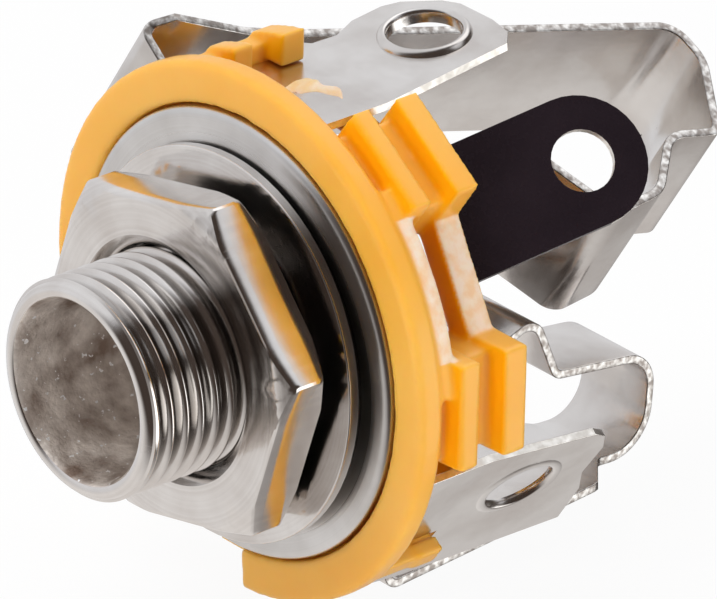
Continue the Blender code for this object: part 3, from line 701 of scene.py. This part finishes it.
# %% The springs
def bent_line(corners, arc_steps=14):
    """Points of a line whose corners (rho, y, radius) become arcs: the centre plus an arm turned by steps."""
    points = [np.array(corners[0][:2])]
    for before, here, after in zip(corners, corners[1:], corners[2:]):
        corner = np.array(here[:2])
        back = np.array(before[:2]) - corner
        ahead = np.array(after[:2]) - corner
        back, ahead = back / np.linalg.norm(back), ahead / np.linalg.norm(ahead)
        half = math.acos(float(np.clip(back @ ahead, -1, 1))) / 2
        start = corner + back * here[2] / math.tan(half)
        middle = (back + ahead) / np.linalg.norm(back + ahead)
        centre = corner + middle * here[2] / math.sin(half)
        sweep = (math.pi - 2 * half) * (1 if back[0] * ahead[1] - back[1] * ahead[0] < 0 else -1)
        turn = np.linspace(0.0, sweep, arc_steps)
        arm = start - centre
        x = np.cos(turn) * arm[0] - np.sin(turn) * arm[1]
        y = np.sin(turn) * arm[0] + np.cos(turn) * arm[1]
        points.extend(centre + np.stack([x, y], axis=-1))
    points.append(np.array(corners[-1][:2]))
    return np.array(points)


def resample(points, step):
    """Even stations along a line, which keep its own points."""
    run = np.concatenate([[0.0], np.cumsum(np.linalg.norm(np.diff(points, axis=0), axis=1))])
    even = np.arange(0.0, run[-1], step)
    stations = np.unique(np.round(np.concatenate([run, even]), 4))
    stations = stations[np.concatenate([[True], np.diff(stations) > STATION_GAP])]
    stations[-1] = run[-1]
    return stations, np.stack([np.interp(stations, run, points[:, k]) for k in (0, 1)], axis=-1)


def rounded_section(half_width, half_sheet, round_radius, steps=4):
    """The strip's cross-section as (across, through): a rectangle whose corners are quarter circles."""
    quarter = np.linspace(0.0, np.pi / 2, steps)
    pieces = []
    for k, (sx, sy) in enumerate(((1, 1), (-1, 1), (-1, -1), (1, -1))):
        turn = quarter + k * np.pi / 2
        across = sx * (half_width - round_radius) + round_radius * np.cos(turn)
        through = sy * (half_sheet - round_radius) + round_radius * np.sin(turn)
        pieces.append(np.stack([across, through], axis=-1))
    return np.concatenate(pieces)


SPRING_SHEET = 0.39
EDGE_ROUND, END_ROUND = 0.05, 0.25
STATION_STEP, STATION_GAP = 0.25, 0.02


def make_strip(name, angle, corners, widths):
    """Carries the section along the bent line in a sector. widths gives (length along, half width)."""
    stations, line = resample(bent_line(corners), STATION_STEP)
    ahead = np.gradient(line, stations, axis=0)
    ahead /= np.linalg.norm(ahead, axis=1, keepdims=True)
    normal = np.stack([-ahead[:, 1], ahead[:, 0]], axis=-1)
    half = np.interp(stations, [w[0] for w in widths], [w[1] for w in widths])
    from_end = np.minimum(stations, stations[-1] - stations)
    short = 1 - np.clip(from_end / END_ROUND, 0, 1)
    half = half - END_ROUND * (1 - np.sqrt(1 - short ** 2))
    sign = np.sign(rounded_section(1.0, 1.0, 0.0001))
    corner = rounded_section(EDGE_ROUND, EDGE_ROUND, EDGE_ROUND)
    across = sign[None, :, 0] * (half[:, None] - EDGE_ROUND) + corner[None, :, 0]
    through = sign[None, :, 1] * (SPRING_SHEET / 2 - EDGE_ROUND) + corner[None, :, 1]
    rho = line[:, None, 0] + normal[:, None, 0] * through
    y = line[:, None, 1] + normal[:, None, 1] * through
    turn = math.radians(angle)
    points = np.stack([
        rho * math.cos(turn) - across * math.sin(turn),
        y,
        rho * math.sin(turn) + across * math.cos(turn),
    ], axis=-1) * MM
    mesh = point_mesh(name, points, [plating, sheared], False)
    on_edge = np.abs(np.abs(across) - half[:, None]) < EDGE_ROUND * 0.75
    kind = (on_edge & np.roll(on_edge, -1, axis=1))[:-1].reshape(-1)
    kind = np.concatenate([kind, [True, True]]).astype(np.int32)
    mesh.polygons.foreach_set("material_index", kind)
    print(name, "cut edge faces", int(kind.sum()))
    return finish_mesh(name, mesh, sharp=50.0)


def make_sheared(name, torn_tone, clean_tone, scale):
    """The sheared edge of a sheet: clean metal with small torn dimples in a duller tone."""
    made, tree, shader = blank_material(name)
    place = tree.nodes.new("ShaderNodeTexCoord").outputs["Object"]
    torn = noise_node(tree, place, scale, detail=2.0)
    link(tree, ramp_node(tree, torn, [(0.38, torn_tone), (0.66, clean_tone)]), shader.inputs["Base Color"])
    link(tree, range_node(tree, torn, at_zero=0.42, at_one=0.22), shader.inputs["Roughness"])
    link(tree, bump_node(tree, torn, distance=0.00002, strength=0.6), shader.inputs["Normal"])
    shader.inputs["Metallic"].default_value = 1.0
    return made


sheared = make_sheared("sheared_edge", (0.30, 0.27, 0.25), (0.74, 0.73, 0.71), scale=3400.0)
cut_edge = make_sheared("cut_edge", (0.74, 0.71, 0.66), (0.97, 0.95, 0.91), scale=2400.0)
print("edge finishes:", sheared.name, cut_edge.name)

# Each bend is (distance from the axis, y, radius), and each width (length along, half width)
TIP_SECTOR, RING_SECTOR = 148.0, -90.0
TIP_BENDS = [
    (10.1, 1.9, 0.0), (12.62, 1.9, 0.5), (4.85, 26.3, 1.3), (2.9, 26.55, 2.0), (-0.5, 24.8, 0.45),
    (0.1, 22.5, 1.2), (-2.15, 20.3, 1.6), (-2.4, 17.65, 0.9), (1.9, 15.7, 0.0),
]
TIP_WIDTHS = [(0.0, 4.1), (2.5, 4.4), (3.5, 4.9), (7.1, 3.85), (9.2, 3.6), (80.0, 3.6)]
RING_BENDS = [
    (9.0, 5.7, 0.0), (12.2, 5.7, 0.6), (11.2, 18.6, 3.0), (11.4, 21.6, 2.0), (7.0, 21.85, 1.6),
    (6.25, 16.3, 0.6), (3.2, 15.0, 0.9), (4.0, 12.9, 0.0),
]
RING_WIDTHS = [(0.0, 3.6), (14.7, 3.6), (15.6, 2.6), (16.1, 2.05), (60.0, 2.05)]

tip_spring = report(make_strip("tip_leaf", TIP_SECTOR, TIP_BENDS, TIP_WIDTHS))
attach(tip_spring, "tip_spring_body")
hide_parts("tip_spring")

ring_spring = report(make_strip("ring_leaf", RING_SECTOR, RING_BENDS, RING_WIDTHS))
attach(ring_spring, "ring_spring_body")
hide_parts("ring_spring")

# %% [markdown]
# The body is one moulding with soft edges everywhere: the mould's own edges are worn, and plastic shrinks.
# Simple closed shapes that overlap are joined by a voxel remesh, which also forgets their sharp edges.
# A few smoothing passes then round every edge and fillet every inner corner, as in the moulded piece.

# %% Shapes for the moulded body
MOULD_VOXEL = 0.14
MOULD_SMOOTHING = 4
MOULD_RINGS, MOULD_ARC = 240, 60


def in_sector(angle, rho, across, y):
    """Points from distances in a sector: rho along its radius, across along its tangent, and y."""
    turn = math.radians(angle)
    x = rho * math.cos(turn) - across * math.sin(turn)
    z = rho * math.sin(turn) + across * math.cos(turn)
    return np.stack([x, y, z], axis=-1)


def bar(angle, rho, across, y, lean=0.0, round_to=None):
    """A box in a sector. lean moves its outer front edge back, and round_to bends its top to a circle."""
    steps = 9
    t = np.linspace(across[0], across[1], steps)
    top = np.full(steps, rho[1]) if round_to is None else np.sqrt(round_to ** 2 - t ** 2)
    foot = np.full(steps, rho[0])
    section = [(foot, y[0]), (top, y[0] + lean), (top, y[1]), (foot, y[1])]
    rows = np.stack([in_sector(angle, r, t, np.full(steps, float(at))) for r, at in section], axis=1)
    return rows.reshape(-1, 3), *grid_faces(steps, len(section), False)


def lathe(profile, start=None, stop=None):
    """A closed profile of (radius, y) turned round Y, whole or from one angle to another with flat ends."""
    profile = np.array(profile, float)
    whole = start is None
    spread = (0, 360, MOULD_RINGS, False) if whole else (start, stop, MOULD_ARC, True)
    turn = np.radians(np.linspace(*spread))
    points = np.stack([
        profile[None, :, 0] * np.cos(turn)[:, None],
        np.broadcast_to(profile[None, :, 1], (len(turn), len(profile))),
        profile[None, :, 0] * np.sin(turn)[:, None],
    ], axis=-1)
    return points.reshape(-1, 3), *grid_faces(len(turn), len(profile), whole)


def join_shapes(name, shapes):
    """Stacks closed shapes in one mesh, in millimetres. Faces count on from the points before their shape."""
    starts = np.cumsum([0] + [len(points) for points, sides, ends in shapes])
    faces = []
    for first, (points, sides, ends) in zip(starts, shapes):
        faces += (sides + first).tolist() + [(end + first).tolist() for end in ends]
    mesh = bpy.data.meshes.new(name)
    mesh.from_pydata(np.concatenate([shape[0] for shape in shapes]).tolist(), [], faces)
    turn_out(mesh)
    return mesh


def melt(name, mesh, voxel, smoothing):
    """Joins the shapes of a mesh by a voxel remesh, then smooths it. Returns a mesh in metres."""
    rough = bpy.data.objects.new(name, mesh)
    bpy.context.scene.collection.objects.link(rough)
    remesh = rough.modifiers.new("join", "REMESH")
    remesh.mode = "VOXEL"
    remesh.voxel_size = voxel
    smooth = rough.modifiers.new("soften", "SMOOTH")
    smooth.iterations = smoothing
    smooth.factor = 0.5
    bpy.context.view_layer.update()
    seen = rough.evaluated_get(bpy.context.evaluated_depsgraph_get())
    done = bpy.data.meshes.new_from_object(seen)
    bpy.data.objects.remove(rough)
    places = np.empty(len(done.vertices) * 3, np.float32)
    done.vertices.foreach_get("co", places)
    done.vertices.foreach_set("co", places * MM)
    done.update()
    return done


# %% The moulded body
RING_OUT, RING_FRONT, RING_BACK = 11.65, 0.15, 1.38
HOLLOW = 9.82
SPIGOT_FIT = 5.72
FRAME_IN, FRAME_OUT = 8.5, 9.5
STEP_1, STEP_2 = (1.85, 2.95), (4.2, 5.5)
BLOCK_OUT, BLOCK_HALF = 11.96, 2.4
BLOCK_SECTORS = (1.0, 55.6)
STRUT_SECTOR = 28.5
HOOK_ROUND = 11.72
PLATE_FROM, PLATE_TO = 1.05, 1.65
PLATE_SECTOR, RIB_SECTOR = (-87.0, 237.0), (5.0, 51.0)
FRAME_FROM, FRAME_TO = 4.35, 5.45
HUB_OUT = 9.3
CORE = (1.3, 5.4)
TIP_LUG_SECTOR, RING_LUG_SECTOR, SLEEVE_LUG_SECTOR = 90.0, -36.0, 45.0
POSTS = ((TIP_SECTOR, 9.3), (210.0, 9.3), (RING_SECTOR, 10.85))


def mould_shapes():
    """The ring plate, the frame ring behind it, the rib, the strut, two stepped blocks, hooks and posts."""
    plate = [
        (SPIGOT_FIT, PLATE_FROM), (HOLLOW, PLATE_FROM), (HOLLOW, RING_FRONT), (11.48, RING_FRONT),
        (11.62, 0.27), (RING_OUT, 0.45), (RING_OUT, 1.1), (11.5, RING_BACK - 0.06), (11.3, RING_BACK),
        (10.4, RING_BACK), (10.2, PLATE_TO), (SPIGOT_FIT, PLATE_TO),
    ]
    hub = [(SPIGOT_FIT, PLATE_FROM), (HUB_OUT, PLATE_FROM), (HUB_OUT, PLATE_TO), (SPIGOT_FIT, PLATE_TO)]
    ring = [(FRAME_IN, FRAME_FROM), (FRAME_OUT, FRAME_FROM), (FRAME_OUT, FRAME_TO), (FRAME_IN, FRAME_TO)]
    rib = [(10.65, 1.2), (11.5, 1.2), (11.5, 2.2), (10.65, 2.25)]
    shapes = [lathe(plate, *PLATE_SECTOR), lathe(hub), lathe(ring), lathe(rib, *RIB_SECTOR)]
    shapes.append(bar(STRUT_SECTOR, (8.6, 9.85), (-5.2, 5.2), (4.15, 5.5)))
    half = BLOCK_HALF
    for sector in BLOCK_SECTORS:
        shapes.append(bar(sector, (8.6, 10.95), (0.3 - half, half - 0.3), CORE))
        shapes.append(bar(sector, (8.7, BLOCK_OUT), (-half, half), STEP_1, 0.12))
        shapes.append(bar(sector, (8.7, BLOCK_OUT), (-half, half), STEP_2, 0.12))
    shapes.append(bar(TIP_LUG_SECTOR, (8.7, 10.75), (3.3, 4.3), CORE))
    shapes.append(bar(TIP_LUG_SECTOR, (10.06, 11.5), (2.5, 4.3), STEP_1, 0.12, HOOK_ROUND))
    shapes.append(bar(TIP_LUG_SECTOR, (10.06, 11.5), (2.2, 4.3), STEP_2, 0.12, HOOK_ROUND))
    shapes.append(bar(RING_LUG_SECTOR, (8.7, 10.9), (-3.9, -2.95), CORE))
    shapes.append(bar(RING_LUG_SECTOR, (10.3, 11.0), (-3.9, -2.8), STEP_2, 0.08))
    for sector, high in POSTS:
        shapes.append(bar(sector, (8.8, high), (-2.2, 2.2), (1.4, 5.4)))
    return shapes


def tint_mould(mesh):
    """Writes two masks: painted shade where a face looks forward in the steps, and thin, for the thin wall
    and painted sheen on the strut and the rib.
    """
    count = len(mesh.vertices)
    place = np.empty(count * 3, np.float32)
    normal = np.empty(count * 3, np.float32)
    mesh.vertices.foreach_get("co", place)
    mesh.vertices.foreach_get("normal", normal)
    x, y, z = (place.reshape(-1, 3) / MM).T
    nx, ny, nz = normal.reshape(-1, 3).T
    rho = np.hypot(x, z)
    turn = np.degrees(np.arctan2(z, x))
    # Painted shade on forward faces behind the ring, in the steps
    forward = rise(-ny, 0.35, 0.45) * rise(y, 1.55, 0.15)
    lean = math.radians(STRUT_SECTOR)
    outward = nx * math.cos(lean) + nz * math.sin(lean)
    flat = x * math.cos(lean) + z * math.sin(lean)
    along = np.abs(z * math.cos(lean) - x * math.sin(lean))
    # Paler thin wall, with painted sheen, on the outward faces of the strut and the rib
    strut = rise(outward, 0.55, 0.3) * (np.abs(flat - 9.8) < 0.3) * (y > 4.0) * (along < 3.35)
    away = nx * x / rho + nz * z / rho
    on_rib = (rho > 10.6) * (rho < 11.62) * (turn > 13) * (turn < 44) * (y < 2.6)
    rib = rise(away, 0.3, 0.4) * rise(y, 1.3, 0.25) * on_rib
    write_mask(mesh, "step_shade", forward)
    write_mask(mesh, "thin", np.maximum(strut, rib))


def make_mould():
    """The body as one soft moulded piece with its two masks."""
    mesh = melt("mould_rough", join_shapes("mould_shapes", mould_shapes()), MOULD_VOXEL, MOULD_SMOOTHING)
    mesh.materials.clear()
    mesh.materials.append(amber)
    tint_mould(mesh)
    mesh.shade_smooth()
    made = bpy.data.objects.new("moulded_body", mesh)
    bpy.context.scene.collection.objects.link(made)
    return made


body = report(make_mould())
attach(body, "frame")
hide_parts("insulator")

# %% [markdown]
# Where the mould's halves met, a torn wisp of flash was left lying on the upper lug. It is a ribbon:
# an ellipse carried along a bent line, whose width shrinks to a point with a ragged wave on the way.

# %% The torn flash
FLASH_LENGTH, FLASH_HALF, FLASH_THICK = 2.6, 0.62, 0.07
FLASH_FROM = (0.35, 2.25, 10.62)


def make_flash():
    """The middle lifts as a sine along X. Half the width is a power of what is left, times a wave."""
    u = np.linspace(0.0, 1.0, 40)[:, None]
    turn = np.linspace(0.0, 2 * np.pi, 16, endpoint=False)[None, :]
    half = FLASH_HALF * (1.02 - u) ** 0.7 * (1.0 + 0.35 * np.sin(17.0 * u) * u)
    across, through = half * np.cos(turn), FLASH_THICK * (1.1 - u) * np.sin(turn)
    x = FLASH_FROM[0] + FLASH_LENGTH * u + 0.0 * turn
    y = FLASH_FROM[1] + 0.75 * u + across + 0.18 * np.sin(9.0 * u)
    z = FLASH_FROM[2] + 0.55 * np.sin(np.pi * u * 0.8) + 0.35 * across + through
    points = np.stack([x, y, z], axis=-1) * MM
    mesh = point_mesh("torn_flash", points, [amber], False)
    write_mask(mesh, "thin", np.broadcast_to(0.55 + 0.35 * u, points.shape[:2]))
    return finish_mesh("torn_flash", mesh, sharp=60.0)


flash = report(make_flash())
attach(flash, "frame")

# %% [markdown]
# The lugs and the washer keep their solids' shape. Real edges are never knife sharp,
# so each gets a copy whose loose triangles are merged into whole faces and whose edges are rounded.

# %% Rounded copies of the solids
ROUND_SEGMENTS, ROUND_FROM_DEGREES = 3, 32
THIN_ROUND, LUG_ROUND = 0.07, 0.10
TIP_LUG_LEAN, RING_LUG_LEAN, SLEEVE_LUG_LEAN = 7.0, 5.5, 18.0

# Each is a lug's sector, its lean in degrees and the y from which its edges are bare metal
TIP_LUG_CUT = (TIP_LUG_SECTOR, TIP_LUG_LEAN, 1.0)
RING_LUG_CUT = (RING_LUG_SECTOR, RING_LUG_LEAN, 1.0)
SLEEVE_LUG_CUT = (SLEEVE_LUG_SECTOR, SLEEVE_LUG_LEAN, 7.5)


def mark_cut_edges(mesh, angle, flare, from_y):
    """Gives the second material to the faces behind from_y that stand square to the sheet's own normal."""
    turn, lean = math.radians(angle), math.radians(flare)
    sheet = np.array([math.cos(turn) * math.cos(lean), -math.sin(lean), math.sin(turn) * math.cos(lean)])
    count = len(mesh.polygons)
    normal, centre = np.empty(count * 3, np.float32), np.empty(count * 3, np.float32)
    mesh.polygons.foreach_get("normal", normal)
    mesh.polygons.foreach_get("center", centre)
    across = (np.abs(normal.reshape(-1, 3) @ sheet) < 0.5) & (centre.reshape(-1, 3)[:, 1] > from_y * MM)
    mesh.polygons.foreach_set("material_index", across.astype(np.int32))


def soft_copy(node, name, materials, width_mm, body, cut=None):
    """A copy of a solid with merged faces and a small round on each sharp edge."""
    work = bmesh.new()
    work.from_mesh(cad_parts[node].data)
    bmesh.ops.remove_doubles(work, verts=work.verts, dist=0.000002)
    bmesh.ops.dissolve_limit(work, angle_limit=math.radians(1.0), verts=work.verts, edges=work.edges)
    mesh = bpy.data.meshes.new(name)
    work.to_mesh(mesh)
    work.free()
    for made in materials:
        mesh.materials.append(made)
    piece = finish_mesh(name, mesh, sharp=35.0)
    if cut is not None:
        mark_cut_edges(mesh, *cut)
    soft = piece.modifiers.new("round_edges", "BEVEL")
    soft.width = width_mm * MM
    soft.segments = ROUND_SEGMENTS
    soft.limit_method = "ANGLE"
    soft.angle_limit = math.radians(ROUND_FROM_DEGREES)
    soft.use_clamp_overlap = True
    soft.harden_normals = True
    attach(piece, body)
    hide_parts(node)
    return report(piece)


soft_copy("washer", "loose_washer", [turned], THIN_ROUND, "washer_body")
soft_copy("tip_lug", "tip_lug_sheet", [plating, cut_edge], LUG_ROUND, "frame", TIP_LUG_CUT)
soft_copy("ring_lug", "ring_lug_sheet", [plating, cut_edge], LUG_ROUND, "frame", RING_LUG_CUT)
# The sleeve lug's black is a painted reflection; its cut edges show bare metal
soft_copy(
    "sleeve_lug", "sleeve_lug_sheet", [black, cut_edge], THIN_ROUND,
    "frame", SLEEVE_LUG_CUT)

# %% [markdown]
# The holes of the two flat lugs were drawn through, so their lips stand up as rolled rims. A rim is a closed
# profile of (radius, height) turned round the hole's own axis, which leans with the lug.

# %% The rolled rims
RIM_PROFILE = [
    (1.57, -0.34), (1.57, 0.08), (1.61, 0.20), (1.70, 0.27),
    (1.82, 0.25), (1.94, 0.14), (2.02, -0.02), (1.9, -0.16),
]
LUG_BEND_Y = 5.6


def make_rim(name, angle, lean, rho, reach, across, lift):
    """The hole's centre, plus the radius turned in the lug's plane, plus the height along its normal."""
    slope = math.radians(lean)
    middle = in_sector(angle, rho + reach * math.sin(slope), across, LUG_BEND_Y + reach * math.cos(slope))
    aside = in_sector(angle, 0.0, 1.0, 0.0)
    ahead = in_sector(angle, math.sin(slope), 0.0, math.cos(slope))
    normal = in_sector(angle, math.cos(slope), 0.0, -math.sin(slope))
    turn = np.linspace(0.0, 2 * np.pi, 72, endpoint=False)[None, :, None]
    radius, height = (np.array(RIM_PROFILE)[:, None, k:k + 1] for k in (0, 1))
    height = np.where(height > 0, height * lift, height)
    points = middle + radius * (np.cos(turn) * aside + np.sin(turn) * ahead) + height * normal
    return grid_mesh(name, points * MM, [plating], None, sharp=60.0)


tip_rim = report(make_rim(
    "tip_lug_rim", TIP_LUG_SECTOR, TIP_LUG_LEAN, rho=10.0, reach=4.7, across=0.2, lift=1.0))
ring_rim = report(make_rim(
    "ring_lug_rim", RING_LUG_SECTOR, RING_LUG_LEAN, rho=10.2, reach=3.0, across=-0.3, lift=0.2))
for rim in (tip_rim, ring_rim):
    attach(rim, "frame")
